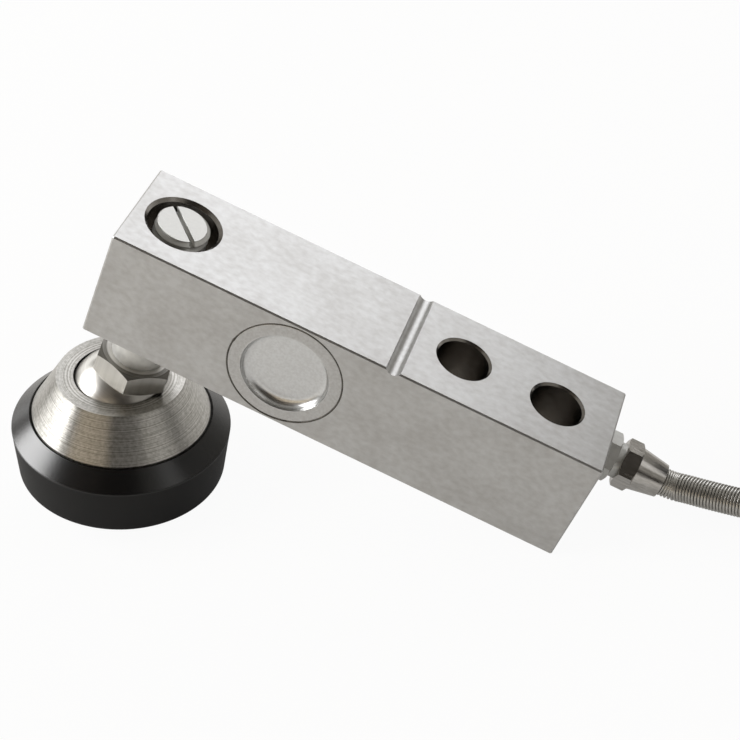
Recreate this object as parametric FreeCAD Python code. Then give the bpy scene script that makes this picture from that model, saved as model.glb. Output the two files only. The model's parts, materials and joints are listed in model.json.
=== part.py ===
"""Single-ended shear beam load cell with a swivel levelling foot, lying loose on a flat surface.

Millimetres. Pieces of the beam are drawn in the cell frame: X along the beam from its load end, Y from the
front face to the back, Z up from mid-height. Pieces of the foot are drawn about the centre of its ball.
The whole cell is then laid down as it comes to rest: on the tail's lower edge and the rim of the foot.
"""

import FreeCAD, Part
import math
import os

from FreeCAD import Placement, Rotation, Vector

# Beam
BEAM_WIDTH = 31.8
BEAM_HEIGHT = 31.8
EDGE_BREAK = 0.4
LOAD_FROM_END = 12.7
FIRST_BOLT_FROM_LOAD = 76.2
BOLT_SPACING = 25.4
TAIL_PAST_BOLT = 15.7
BOLT_HOLE_D = 13.5
BOLT_HOLE_CHAMFER = 0.6
GROOVE_FROM_LOAD = 61.65
GROOVE_RADIUS = 2.2
GROOVE_DEPTH = 1.2
COUNTERBORE_D = 18.2
COUNTERBORE_DEPTH = 8.0
COUNTERBORE_CHAMFER = 0.85

# Gauge pockets and their covers
POCKET_FROM_LOAD = 38.1
POCKET_D = 25.0
WEB = 6.4
COVER_D = 29.6
COVER_FLANGE = 1.0
COVER_SHEET = 0.8
COVER_CLEARANCE = 0.2
COVER_EDGE_RADIUS = 0.3
DISH_D = 22.9
DISH_DEPTH = 2.4

# Gauges and solder board inside the pockets
GAUGE_LENGTH = 11.0
GAUGE_WIDTH = 8.0
GAUGE_FILM = 0.15
GRID_LENGTH = 4.6
GRID_WIDTH = 2.6
GRID_FOIL = 0.1
GRID_SPREAD = 4.4
BOARD_LENGTH = 10.0
BOARD_WIDTH = 3.6
BOARD_THICKNESS = 0.8
BOARD_DROP = 8.0
PAD_COUNT = 4
PAD_SIZE = 1.4
PAD_HEIGHT = 0.4

# Levelling screw and ball head
SCREW_D = 14.0
SCREW_CHAMFER = 0.5
SCREW_IN_HEAD = 13.9
SLOT_WIDTH = 1.3
SLOT_DEPTH = 2.0
SLOT_ANGLE = -49.0
THREAD_CLEARANCE = 0.05
STUD_SHOWN = 13.4
HEX_FLATS = 19.0
HEX_HEIGHT = 6.6
HEX_ANGLE = 39.0
HEX_CHAMFER_ANGLE = 30.0
HEX_BLANK_SPARE = 0.5
BALL_BELOW_HEX = 11.3
BALL_D = 28.4
BALL_FLAT_DROP = 10.5

# Swivel foot
SWIVEL_LIMIT = 16.0
BALL_CLEARANCE = 0.06
CONE_RISE = 8.0
CONE_TOP_D = 34.2
CONE_BASE_D = 47.6
CONE_BASE_DROP = 3.65
MOUTH_D = 25.0
MOUTH_UNDERCUT_D = 26.6
LIP_THICKNESS = 2.0
SHELL_WALL = 1.74
SHELL_CLEARANCE = 0.05
SHELL_SPLIT = 1.0
SEAT_DROP = 12.7
PLATE_D = 38.0
PLATE_THICKNESS = 2.6
FOOT_BODY_DROP = 15.5
RUBBER_CLEARANCE = 0.05
RUBBER_GROOVE = 0.7
RUBBER_TOP_DROP = 3.9
RUBBER_RIM_D = 58.7
RUBBER_RIM_DROP = 8.4
RUBBER_BOTTOM_D = 56.0
RUBBER_BOTTOM_DROP = 22.7
RUBBER_EDGE_RADIUS = 1.5

# Cable gland
GLAND_OFFSET = 9.8
GLAND_FLATS = 11.5
GLAND_TURN = 19.5
GLAND_THREAD_D = 8.0
GLAND_THREAD_LENGTH = 8.0
GLAND_HOLE_EXTRA = 0.5
GLAND_BASE = 5.0
GLAND_GAP = 1.6
GLAND_NUT_HEX = 4.4
GLAND_CONE = 7.4
GLAND_CONE_D = 11.4
GLAND_TIP_D = 8.9
GLAND_NECK_D = 9.4
GLAND_NECK = 8.0
GLAND_SEAL_LENGTH = 3.8
GLAND_SEAL_D = 7.2
GLAND_WEB = 1.0
GLAND_CLEARANCE = 0.05
GLAND_CHAMFER_ANGLE = 30.0
O_RING_SECTION = 0.9
O_RING_D = 9.6
O_RING_GROOVE_WIDTH = 1.1
O_RING_GROOVE_DEPTH = 0.95
WIRE_BORE_D = 4.0
WIRE_BORE_INTO_POCKET = 3.0
INNER_CORE_D = 1.0
INNER_CORE_SPREAD = 1.2

# Cable, spring and coil
CABLE_D = 5.0
SPRING_D = 7.4
SPRING_BORE_D = 5.8
SPRING_SEAT_CLEARANCE = 0.1
BEND_SHARE = 0.45
CABLE_STRAIGHT = 3.0
SPRING_ROUTE_FROM_TIP = [
    (6.2, -0.85, 3.80),
    (11.4, -2.35, 3.76),
    (20.0, -4.5, 3.75),
]
CABLE_ROUTE_FROM_TIP = [
    (28.5, -6.4, 3.70),
    (36.9, -9.3, 3.60),
    (44.8, -13.3, 3.60),
]
COIL_CENTRE_FROM_TIP = (58.9, 14.3)
COIL_MID_D = 52.0
COIL_TURNS_ABREAST = 3
COIL_LAYERS = 6
TIE_THICKNESS = 1.0
TIE_WIDTH = 3.6
TIE_CLEARANCE = 0.1
TIE_HEAD = (4.6, 4.4, 3.4)
TIE_ANGLES = {"cable_tie_a": 330.0, "cable_tie_b": 150.0}
TAIL_LIFT = 0.05
TAIL_START_ANGLE = 190.0
TAIL_SWEEP = 80.0
CORE_D = 1.3
CORE_SWEEP = 50.0
CORE_SPACING = 1.0
CORE_NAMES = ["core_red", "core_green", "shield_tail", "core_white", "core_black"]

# Sizes that follow from those above
BEAM_LENGTH = LOAD_FROM_END + FIRST_BOLT_FROM_LOAD + BOLT_SPACING + TAIL_PAST_BOLT
HALF_WIDTH = BEAM_WIDTH / 2
HALF_HEIGHT = BEAM_HEIGHT / 2
POCKET_X = LOAD_FROM_END + POCKET_FROM_LOAD
GROOVE_X = LOAD_FROM_END + GROOVE_FROM_LOAD
BOLT_X = [LOAD_FROM_END + FIRST_BOLT_FROM_LOAD + BOLT_SPACING * i for i in range(2)]
HEX_TOP = BALL_BELOW_HEX + HEX_HEIGHT
BALL_DROP = STUD_SHOWN + HEX_TOP
BALL_CENTRE = Vector(LOAD_FROM_END, 0, -HALF_HEIGHT - BALL_DROP)
BALL_R = BALL_D / 2
SOCKET_R = BALL_R + BALL_CLEARANCE
SHELL_R = SOCKET_R + SHELL_WALL
NUT_START = GLAND_BASE + GLAND_GAP
NUT_CONE_START = NUT_START + GLAND_NUT_HEX
GLAND_TIP = NUT_CONE_START + GLAND_CONE
NECK_END = GLAND_BASE + GLAND_NECK
SEAL_END = NECK_END + GLAND_CLEARANCE
SPRING_SEAT = SEAL_END + GLAND_WEB
CABLE_BORE_D = CABLE_D + 2 * GLAND_CLEARANCE
COIL_WIDTH = COIL_TURNS_ABREAST * CABLE_D
COIL_HEIGHT = COIL_LAYERS * CABLE_D

Z_AXIS = Vector(0, 0, 1)
ORIGIN = Vector(0, 0, 0)


def lying_slope():
    """Slope of the beam when the tail's lower edge and the rounded rim of the foot share one surface."""
    swivel = math.radians(SWIVEL_LIMIT)
    rim_drop = RUBBER_BOTTOM_DROP - RUBBER_EDGE_RADIUS
    rim_radius = RUBBER_BOTTOM_D / 2 - RUBBER_EDGE_RADIUS
    arm = BEAM_LENGTH - EDGE_BREAK - LOAD_FROM_END
    along = arm - rim_drop * math.sin(swivel) - rim_radius * math.cos(swivel)
    below = BALL_DROP + rim_drop * math.cos(swivel) - rim_radius * math.sin(swivel)
    reach = math.hypot(along, below)
    return math.atan2(below, along) + math.asin(RUBBER_EDGE_RADIUS / reach)


def turned(outline):
    """Solid turned about Z. An entry is a corner (r, z), or a pair: a point on an arc and the arc's end."""
    edges = []
    here = outline[0]
    closing = [] if isinstance(outline[-1][0], tuple) and outline[-1][1] == outline[0] else [outline[0]]
    for entry in outline[1:] + closing:
        start = Vector(here[0], 0, here[1])
        if isinstance(entry[0], tuple):
            through, here = entry
            arc = Part.Arc(start, Vector(through[0], 0, through[1]), Vector(here[0], 0, here[1]))
            edges.append(arc.toShape())
        else:
            here = entry
            edges.append(Part.LineSegment(start, Vector(here[0], 0, here[1])).toShape())
    return Part.Face(Part.Wire(edges)).revolve(ORIGIN, Z_AXIS, 360)


def on_sphere(radius, height):
    """Corner of a turned outline where a ball about the origin has this height."""
    return (math.sqrt(radius * radius - height * height), height)


def sphere_arc(radius, start_height, end_height):
    """Arc entry of a turned outline along a ball about the origin."""
    start = math.asin(start_height / radius)
    end = math.asin(end_height / radius)
    middle = (start + end) / 2
    return ((radius * math.cos(middle), radius * math.sin(middle)), on_sphere(radius, end_height))


def cylinder(radius, low, high):
    """Cylinder on Z from one height to another."""
    return Part.makeCylinder(radius, high - low, Vector(0, 0, low))


def box(size, centre):
    """Box of this size about its centre."""
    corner = centre - Vector(*size) / 2
    return Part.makeBox(*size, corner)


def hexagon(flats, low, high, turn, chamfer_angle, chamfer_low=True, chamfer_high=True):
    """Hexagon on Z with its corners turned off at the ends, as on a nut. One corner is at the angle turn."""
    corner_r = flats / math.sqrt(3)
    corners = []
    for i in range(7):
        angle = math.radians(turn + 60 * i)
        corners.append(Vector(corner_r * math.cos(angle), corner_r * math.sin(angle), low))
    prism = Part.Face(Part.makePolygon(corners)).extrude(Vector(0, 0, high - low))
    face_r = flats / 2
    blank_r = corner_r + HEX_BLANK_SPARE
    drop = (blank_r - face_r) * math.tan(math.radians(chamfer_angle))
    outline = [(0, low)]
    outline += [(face_r, low), (blank_r, low + drop)] if chamfer_low else [(blank_r, low)]
    outline += [(blank_r, high - drop), (face_r, high)] if chamfer_high else [(blank_r, high)]
    outline += [(0, high)]
    return prism.common(turned(outline))


def facing(shape, direction, place):
    """The shape with its Z axis turned to a direction and its origin put at a place."""
    moved = shape.copy()
    moved.Placement = Placement(place, Rotation(Z_AXIS, direction))
    return moved


def make_beam():
    """Machined bar with the load hole, bolt holes, groove, gauge pockets, wire bore and gland hole."""
    bar = Part.makeBox(BEAM_LENGTH, BEAM_WIDTH, BEAM_HEIGHT, Vector(0, -HALF_WIDTH, -HALF_HEIGHT))
    bar = bar.makeChamfer(EDGE_BREAK, bar.Edges)
    cuts = []
    bolt_r = BOLT_HOLE_D / 2
    mouth_r = bolt_r + BOLT_HOLE_CHAMFER
    bolt_hole = turned([
        (0, -HALF_HEIGHT),
        (mouth_r, -HALF_HEIGHT),
        (bolt_r, -HALF_HEIGHT + BOLT_HOLE_CHAMFER),
        (bolt_r, HALF_HEIGHT - BOLT_HOLE_CHAMFER),
        (mouth_r, HALF_HEIGHT),
        (0, HALF_HEIGHT),
    ])
    for x in BOLT_X:
        cuts.append(facing(bolt_hole, Z_AXIS, Vector(x, 0, 0)))
    screw_r = SCREW_D / 2 + THREAD_CLEARANCE
    bore_r = COUNTERBORE_D / 2
    load_hole = turned([
        (0, -HALF_HEIGHT),
        (screw_r + SCREW_CHAMFER, -HALF_HEIGHT),
        (screw_r, -HALF_HEIGHT + SCREW_CHAMFER),
        (screw_r, HALF_HEIGHT - COUNTERBORE_DEPTH),
        (bore_r, HALF_HEIGHT - COUNTERBORE_DEPTH),
        (bore_r, HALF_HEIGHT - COUNTERBORE_CHAMFER),
        (bore_r + COUNTERBORE_CHAMFER, HALF_HEIGHT),
        (0, HALF_HEIGHT),
    ])
    cuts.append(facing(load_hole, Z_AXIS, Vector(LOAD_FROM_END, 0, 0)))
    groove_z = HALF_HEIGHT - GROOVE_DEPTH + GROOVE_RADIUS
    groove_start = Vector(GROOVE_X, -HALF_WIDTH, groove_z)
    cuts.append(Part.makeCylinder(GROOVE_RADIUS, BEAM_WIDTH, groove_start, Vector(0, 1, 0)))
    pocket_depth = (BEAM_WIDTH - WEB) / 2
    seat_r = COVER_D / 2 + COVER_CLEARANCE
    pocket = turned([
        (0, -pocket_depth),
        (POCKET_D / 2, -pocket_depth),
        (POCKET_D / 2, -COVER_FLANGE),
        (seat_r, -COVER_FLANGE),
        (seat_r, 0),
        (0, 0),
    ])
    for side in (-1, 1):
        cuts.append(facing(pocket, Vector(0, side, 0), Vector(POCKET_X, side * HALF_WIDTH, 0)))
    tail = Vector(BEAM_LENGTH, GLAND_OFFSET, 0)
    bore_length = BEAM_LENGTH - POCKET_X - POCKET_D / 2 + WIRE_BORE_INTO_POCKET
    cuts.append(Part.makeCylinder(WIRE_BORE_D / 2, bore_length, tail, Vector(-1, 0, 0)))
    thread_r = GLAND_THREAD_D / 2 + GLAND_CLEARANCE
    cuts.append(Part.makeCylinder(thread_r, GLAND_THREAD_LENGTH + GLAND_HOLE_EXTRA, tail, Vector(-1, 0, 0)))
    for cut in cuts:
        bar = bar.cut(cut)
    return bar


def make_cover(side):
    """Dished sheet cover, flush with the side of the beam, with its dish in the pocket."""
    dish_r = DISH_D / 2
    floor_r = dish_r - DISH_DEPTH
    under_r = DISH_DEPTH + COVER_SHEET
    half = math.sqrt(0.5)
    flange_r = floor_r + math.sqrt(under_r * under_r - COVER_FLANGE * COVER_FLANGE)
    under_angle = (math.asin(COVER_FLANGE / under_r) + math.pi / 2) / 2
    under_mid = (floor_r + under_r * math.cos(under_angle), -under_r * math.sin(under_angle))
    edge_r = COVER_D / 2 - COVER_EDGE_RADIUS
    edge_mid = (edge_r + COVER_EDGE_RADIUS * half, COVER_EDGE_RADIUS * (half - 1))
    cover = turned([
        (0, -DISH_DEPTH),
        (floor_r, -DISH_DEPTH),
        ((floor_r + DISH_DEPTH * half, -DISH_DEPTH * half), (dish_r, 0)),
        (edge_r, 0),
        (edge_mid, (COVER_D / 2, -COVER_EDGE_RADIUS)),
        (COVER_D / 2, -COVER_FLANGE),
        (flange_r, -COVER_FLANGE),
        (under_mid, (floor_r, -under_r)),
        (0, -under_r),
    ])
    return facing(cover, Vector(0, side, 0), Vector(POCKET_X, side * HALF_WIDTH, 0))


def make_gauge(side):
    """Shear gauge film with two foil grids at right angles, bonded to the web at the bottom of a pocket."""
    film = box((GAUGE_LENGTH, GAUGE_FILM, GAUGE_WIDTH), Vector(0, GAUGE_FILM / 2, 0))
    for way in (-1, 1):
        grid = box((GRID_LENGTH, GRID_FOIL, GRID_WIDTH), Vector(0, GAUGE_FILM + GRID_FOIL / 2, 0))
        grid.rotate(ORIGIN, Vector(0, 1, 0), 45 * way)
        grid.translate(Vector(way * GRID_SPREAD / 2, 0, 0))
        film = film.fuse(grid)
    if side < 0:
        film.rotate(ORIGIN, Z_AXIS, 180)
    film.translate(Vector(POCKET_X, side * WEB / 2, 0))
    return film.removeSplitter()


def make_terminal_board():
    """Small solder board on the web of the rear pocket, under the gauge, with a row of pads."""
    board = box((BOARD_LENGTH, BOARD_THICKNESS, BOARD_WIDTH), Vector(0, BOARD_THICKNESS / 2, 0))
    pitch = BOARD_LENGTH / PAD_COUNT
    for i in range(PAD_COUNT):
        x = (i - (PAD_COUNT - 1) / 2) * pitch
        pad = box((PAD_SIZE, PAD_HEIGHT, PAD_SIZE), Vector(x, BOARD_THICKNESS + PAD_HEIGHT / 2, 0))
        board = board.fuse(pad)
    board.translate(Vector(POCKET_X, WEB / 2, -BOARD_DROP))
    return board.removeSplitter()


def make_levelling_screw():
    """Headless screw through the load hole, flush with the top of the beam, with a slot in its upper end."""
    top = BALL_DROP + BEAM_HEIGHT
    foot = HEX_TOP - SCREW_IN_HEAD
    radius = SCREW_D / 2
    screw = turned([
        (0, foot),
        (radius - SCREW_CHAMFER, foot),
        (radius, foot + SCREW_CHAMFER),
        (radius, top - SCREW_CHAMFER),
        (radius - SCREW_CHAMFER, top),
        (0, top),
    ])
    slot = box((SCREW_D, SLOT_WIDTH, SLOT_DEPTH), Vector(0, 0, top - SLOT_DEPTH / 2))
    slot.rotate(ORIGIN, Z_AXIS, SLOT_ANGLE)
    return facing(screw.cut(slot), Z_AXIS, BALL_CENTRE)


def make_ball_head():
    """Hexagon and ball in one piece, bored from above for the screw and faced flat below."""
    ball = turned([
        (0, -BALL_FLAT_DROP),
        on_sphere(BALL_R, -BALL_FLAT_DROP),
        sphere_arc(BALL_R, -BALL_FLAT_DROP, BALL_BELOW_HEX),
        (0, BALL_BELOW_HEX),
    ])
    head = ball.fuse(hexagon(HEX_FLATS, BALL_BELOW_HEX, HEX_TOP, HEX_ANGLE, HEX_CHAMFER_ANGLE))
    bore_r = SCREW_D / 2 + THREAD_CLEARANCE
    bore = cylinder(bore_r, HEX_TOP - SCREW_IN_HEAD - THREAD_CLEARANCE, HEX_TOP)
    return facing(head.cut(bore).removeSplitter(), Z_AXIS, BALL_CENTRE)


def make_retaining_ring():
    """Upper bearing shell of the ball, under the lip of the cone."""
    top = CONE_RISE - LIP_THICKNESS - SHELL_CLEARANCE
    return turned([
        on_sphere(SOCKET_R, SHELL_SPLIT),
        (SHELL_R, SHELL_SPLIT),
        (SHELL_R, top),
        on_sphere(SOCKET_R, top),
        sphere_arc(SOCKET_R, top, SHELL_SPLIT),
    ])


def make_ball_seat():
    """Lower bearing shell that carries the ball, on the base plate."""
    return turned([
        on_sphere(SOCKET_R, -SEAT_DROP),
        (SHELL_R, -SEAT_DROP),
        (SHELL_R, -SHELL_SPLIT),
        on_sphere(SOCKET_R, -SHELL_SPLIT),
        sphere_arc(SOCKET_R, -SHELL_SPLIT, -SEAT_DROP),
    ])


def make_foot_body():
    """Turned cone with a lip round the ball, bored from below for the bearing shells and the base plate."""
    shell_r = SHELL_R + SHELL_CLEARANCE
    plate_r = PLATE_D / 2 + SHELL_CLEARANCE
    lip = CONE_RISE - LIP_THICKNESS
    plate_top = -SEAT_DROP - SHELL_CLEARANCE
    return turned([
        (MOUTH_D / 2, CONE_RISE),
        (CONE_TOP_D / 2, CONE_RISE),
        (CONE_BASE_D / 2, -CONE_BASE_DROP),
        (CONE_BASE_D / 2, -FOOT_BODY_DROP),
        (plate_r, -FOOT_BODY_DROP),
        (plate_r, plate_top),
        (shell_r, plate_top),
        (shell_r, lip),
        (MOUTH_UNDERCUT_D / 2, lip),
    ])


def make_base_plate():
    """Disc pressed into the underside of the cone, below the ball seat."""
    top = -SEAT_DROP - SHELL_CLEARANCE
    return cylinder(PLATE_D / 2, top - PLATE_THICKNESS, top)


def make_rubber_base():
    """Rubber pad moulded round the lower part of the cone, with a bevelled shoulder and a tapered side."""
    inner_r = CONE_BASE_D / 2 + RUBBER_CLEARANCE
    floor = -FOOT_BODY_DROP - RUBBER_CLEARANCE
    rim = (RUBBER_RIM_D / 2, -RUBBER_RIM_DROP)
    bottom_r = RUBBER_BOTTOM_D / 2
    centre = (bottom_r - RUBBER_EDGE_RADIUS, -RUBBER_BOTTOM_DROP + RUBBER_EDGE_RADIUS)
    offset = (rim[0] - centre[0], rim[1] - centre[1])
    distance = math.hypot(*offset)
    tangent = math.atan2(offset[1], offset[0]) - math.acos(RUBBER_EDGE_RADIUS / distance)
    middle = (tangent - math.pi / 2) / 2
    edge_start = tuple(c + RUBBER_EDGE_RADIUS * f(tangent) for c, f in zip(centre, (math.cos, math.sin)))
    edge_mid = tuple(c + RUBBER_EDGE_RADIUS * f(middle) for c, f in zip(centre, (math.cos, math.sin)))
    return turned([
        (0, -RUBBER_BOTTOM_DROP),
        (0, floor),
        (inner_r, floor),
        (inner_r, -RUBBER_TOP_DROP - RUBBER_GROOVE),
        (inner_r + RUBBER_GROOVE, -RUBBER_TOP_DROP),
        rim,
        edge_start,
        (edge_mid, (centre[0], -RUBBER_BOTTOM_DROP)),
    ])


def at_gland(shape):
    """A gland piece drawn along Z from the tail face, put on the gland's axis."""
    return facing(shape, Vector(1, 0, 0), Vector(BEAM_LENGTH, GLAND_OFFSET, 0))


def gland_hexagon(low, high, chamfer_low, chamfer_high):
    """Hexagon of the gland, turned as the gland sits when it is tight."""
    return hexagon(GLAND_FLATS, low, high, GLAND_TURN, GLAND_CHAMFER_ANGLE, chamfer_low, chamfer_high)


def make_gland_body():
    """Hexagon with a thread into the beam and a neck for the nut, bored for the cable and its seal."""
    body = gland_hexagon(0, GLAND_BASE, False, True)
    body = body.fuse(cylinder(GLAND_THREAD_D / 2, -GLAND_THREAD_LENGTH, 0))
    body = body.fuse(cylinder(GLAND_NECK_D / 2, GLAND_BASE, NECK_END))
    groove_mid = O_RING_D / 2
    groove = cylinder(groove_mid + O_RING_GROOVE_WIDTH / 2, 0, O_RING_GROOVE_DEPTH)
    groove = groove.cut(cylinder(groove_mid - O_RING_GROOVE_WIDTH / 2, 0, O_RING_GROOVE_DEPTH))
    body = body.cut(groove)
    body = body.cut(cylinder(CABLE_BORE_D / 2, -GLAND_THREAD_LENGTH, NECK_END))
    seal_r = GLAND_SEAL_D / 2 + GLAND_CLEARANCE
    return at_gland(body.cut(cylinder(seal_r, NECK_END - GLAND_SEAL_LENGTH, NECK_END)).removeSplitter())


def make_gland_o_ring():
    """O-ring between the gland's hexagon and the tail face."""
    return at_gland(Part.makeTorus(O_RING_D / 2, O_RING_SECTION / 2, Vector(0, 0, O_RING_SECTION / 2)))


def make_gland_seal():
    """Rubber sleeve that the nut squeezes round the cable."""
    low = NECK_END - GLAND_SEAL_LENGTH + GLAND_CLEARANCE
    sleeve = cylinder(GLAND_SEAL_D / 2, low, NECK_END)
    return at_gland(sleeve.cut(cylinder(CABLE_BORE_D / 2, low, NECK_END)))


def make_gland_nut():
    """Hexagon cap nut with a cone, bored for the neck, the cable and the end of the spring."""
    nut = gland_hexagon(NUT_START, NUT_CONE_START, True, True)
    cone = Part.makeCone(GLAND_CONE_D / 2, GLAND_TIP_D / 2, GLAND_CONE, Vector(0, 0, NUT_CONE_START))
    nut = nut.fuse(cone)
    neck_r = GLAND_NECK_D / 2 + GLAND_CLEARANCE
    spring_r = SPRING_D / 2 + SPRING_SEAT_CLEARANCE
    nut = nut.cut(cylinder(neck_r, NUT_START, SEAL_END))
    nut = nut.cut(cylinder(CABLE_BORE_D / 2, SEAL_END, SPRING_SEAT))
    nut = nut.cut(cylinder(spring_r, SPRING_SEAT, GLAND_TIP))
    return at_gland(nut.removeSplitter())


def make_cable_end():
    """The cable inside the gland, from the end of its jacket to the tip of the nut."""
    return at_gland(cylinder(CABLE_D / 2, -GLAND_THREAD_LENGTH, GLAND_TIP))


def make_inner_cores():
    """The four cores in the wire bore, from the end of the jacket to the rear pocket."""
    length = BEAM_LENGTH - GLAND_THREAD_LENGTH - POCKET_X - POCKET_D / 2 + WIRE_BORE_INTO_POCKET
    cores = []
    for y in (-INNER_CORE_SPREAD / 2, INNER_CORE_SPREAD / 2):
        for z in (-INNER_CORE_SPREAD / 2, INNER_CORE_SPREAD / 2):
            start = Vector(BEAM_LENGTH - GLAND_THREAD_LENGTH, GLAND_OFFSET + y, z)
            cores.append(Part.makeCylinder(INNER_CORE_D / 2, length, start, Vector(-1, 0, 0)))
    return Part.makeCompound(cores)


def bent_path(points):
    """Wire of straight runs with a tangent arc at each inner point, as large as its two runs allow."""
    edges = []
    radii = []
    here = points[0]
    for before, corner, after in zip(points, points[1:], points[2:]):
        back = before - corner
        ahead = after - corner
        turn = math.pi - back.getAngle(ahead)
        reach = BEND_SHARE * min(back.Length, ahead.Length)
        radii.append(reach / math.tan(turn / 2))
        start = corner + back.normalize() * reach
        end = corner + ahead.normalize() * reach
        to_centre = (back + ahead).normalize()
        middle = corner + to_centre * (radii[-1] / math.cos(turn / 2) - radii[-1])
        edges.append(Part.LineSegment(here, start).toShape())
        edges.append(Part.Arc(start, middle, end).toShape())
        here = end
    edges.append(Part.LineSegment(here, points[-1]).toShape())
    return Part.Wire(edges), radii


def swept(path, diameter):
    """Round solid of this diameter along a path."""
    first = path.Edges[0]
    start = first.valueAt(first.FirstParameter)
    section = Part.Wire(Part.makeCircle(diameter / 2, start, first.tangentAt(first.FirstParameter)))
    return path.makePipeShell([section], True, False)


def ring_part(section_d, mid_d, height, start_angle, sweep):
    """Part of a ring of round section about Z."""
    centre = Vector(mid_d / 2, 0, height)
    face = Part.Face(Part.Wire(Part.makeCircle(section_d / 2, centre, Vector(0, 1, 0))))
    part = face.revolve(ORIGIN, Z_AXIS, sweep)
    part.rotate(ORIGIN, Z_AXIS, start_angle)
    return part


def rounded_rectangle(width, height, corner):
    """Outline of a rectangle with rounded corners about the origin of the XZ plane, as a wire."""
    edges = []
    here = Vector(width / 2, 0, corner - height / 2)
    for i, (side, up) in enumerate([(1, 1), (-1, 1), (-1, -1), (1, -1)]):
        centre = Vector(side * (width / 2 - corner), 0, up * (height / 2 - corner))
        bow = []
        for angle in (90 * i, 90 * i + 45, 90 * i + 90):
            way = math.radians(angle)
            bow.append(centre + Vector(corner * math.cos(way), 0, corner * math.sin(way)))
        edges.append(Part.LineSegment(here, bow[0]).toShape())
        edges.append(Part.Arc(*bow).toShape())
        here = bow[-1]
    return Part.Wire(edges)


def make_coil_pieces(centre):
    """The put-away coil as one ring, its ties, and the cable's end and cores on top of it."""
    lift = TIE_THICKNESS + TIE_CLEARANCE
    mid_height = lift + COIL_HEIGHT / 2
    middle = Vector(COIL_MID_D / 2, 0, mid_height)
    section = rounded_rectangle(COIL_WIDTH, COIL_HEIGHT, CABLE_D / 2)
    section.translate(middle)
    pieces = {"cable_coil": Part.Face(section).revolve(ORIGIN, Z_AXIS, 360)}
    corner = CABLE_D / 2
    faces = []
    for gap in (TIE_CLEARANCE, TIE_CLEARANCE + TIE_THICKNESS):
        outline = rounded_rectangle(COIL_WIDTH + 2 * gap, COIL_HEIGHT + 2 * gap, corner + gap)
        faces.append(Part.Face(outline))
    inner, outer = faces
    for name, angle in TIE_ANGLES.items():
        band = outer.cut(inner).extrude(Vector(0, TIE_WIDTH, 0))
        band.translate(middle - Vector(0, TIE_WIDTH / 2, 0))
        band_x = middle.x + COIL_WIDTH / 2 + lift
        head = box(TIE_HEAD, Vector(band_x + TIE_HEAD[0] / 2 - TIE_THICKNESS / 2, 0, mid_height))
        tie = band.fuse(head).removeSplitter()
        tie.rotate(ORIGIN, Z_AXIS, angle)
        pieces[name] = tie
    top = lift + COIL_HEIGHT + TAIL_LIFT
    pieces["cable_tail"] = ring_part(CABLE_D, COIL_MID_D, top + CABLE_D / 2, TAIL_START_ANGLE, TAIL_SWEEP)
    middle_core = (len(CORE_NAMES) - 1) / 2
    for i, name in enumerate(CORE_NAMES):
        step = (i - middle_core) * CORE_SPACING
        height = top + CABLE_D / 2 + (CORE_D / 2 if i % 2 else -CORE_D / 2)
        start = TAIL_START_ANGLE + TAIL_SWEEP
        pieces[name] = ring_part(CORE_D, COIL_MID_D + 2 * step, height, start, CORE_SWEEP)
    for piece in pieces.values():
        piece.translate(centre)
    return pieces


def make_foot_pieces():
    """Pieces of the foot, swivelled to the stop on the load end's side of the beam."""
    pieces = {
        "retaining_ring": make_retaining_ring(),
        "ball_seat": make_ball_seat(),
        "foot_body": make_foot_body(),
        "base_plate": make_base_plate(),
        "rubber_base": make_rubber_base(),
    }
    for piece in pieces.values():
        piece.Placement = Placement(BALL_CENTRE, Rotation(Vector(0, 1, 0), -SWIVEL_LIMIT))
    return pieces


def make_cell_pieces():
    """Every piece of the cell itself, in the cell frame."""
    pieces = {
        "beam": make_beam(),
        "front_cover": make_cover(-1),
        "rear_cover": make_cover(1),
        "front_gauge": make_gauge(-1),
        "rear_gauge": make_gauge(1),
        "terminal_board": make_terminal_board(),
        "levelling_screw": make_levelling_screw(),
        "ball_head": make_ball_head(),
        "gland_body": make_gland_body(),
        "gland_o_ring": make_gland_o_ring(),
        "gland_seal": make_gland_seal(),
        "gland_nut": make_gland_nut(),
        "cable_end": make_cable_end(),
        "inner_cores": make_inner_cores(),
    }
    pieces.update(make_foot_pieces())
    return pieces


def lying_placement(pieces):
    """Placement of the cell as it lies: sloped to rest, low point at zero, middle over the origin."""
    slope = Rotation(Vector(0, 1, 0), math.degrees(lying_slope()))
    rest = slope.multVec(Vector(BEAM_LENGTH - EDGE_BREAK, 0, -HALF_HEIGHT))
    bounds = FreeCAD.BoundBox()
    for piece in pieces.values():
        turned_piece = piece.copy()
        turned_piece.Placement = Placement(ORIGIN, slope) * turned_piece.Placement
        bounds.add(turned_piece.optimalBoundingBox(False, False))
    return Placement(Vector(-bounds.Center.x, -bounds.Center.y, -rest.z), slope)


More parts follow.
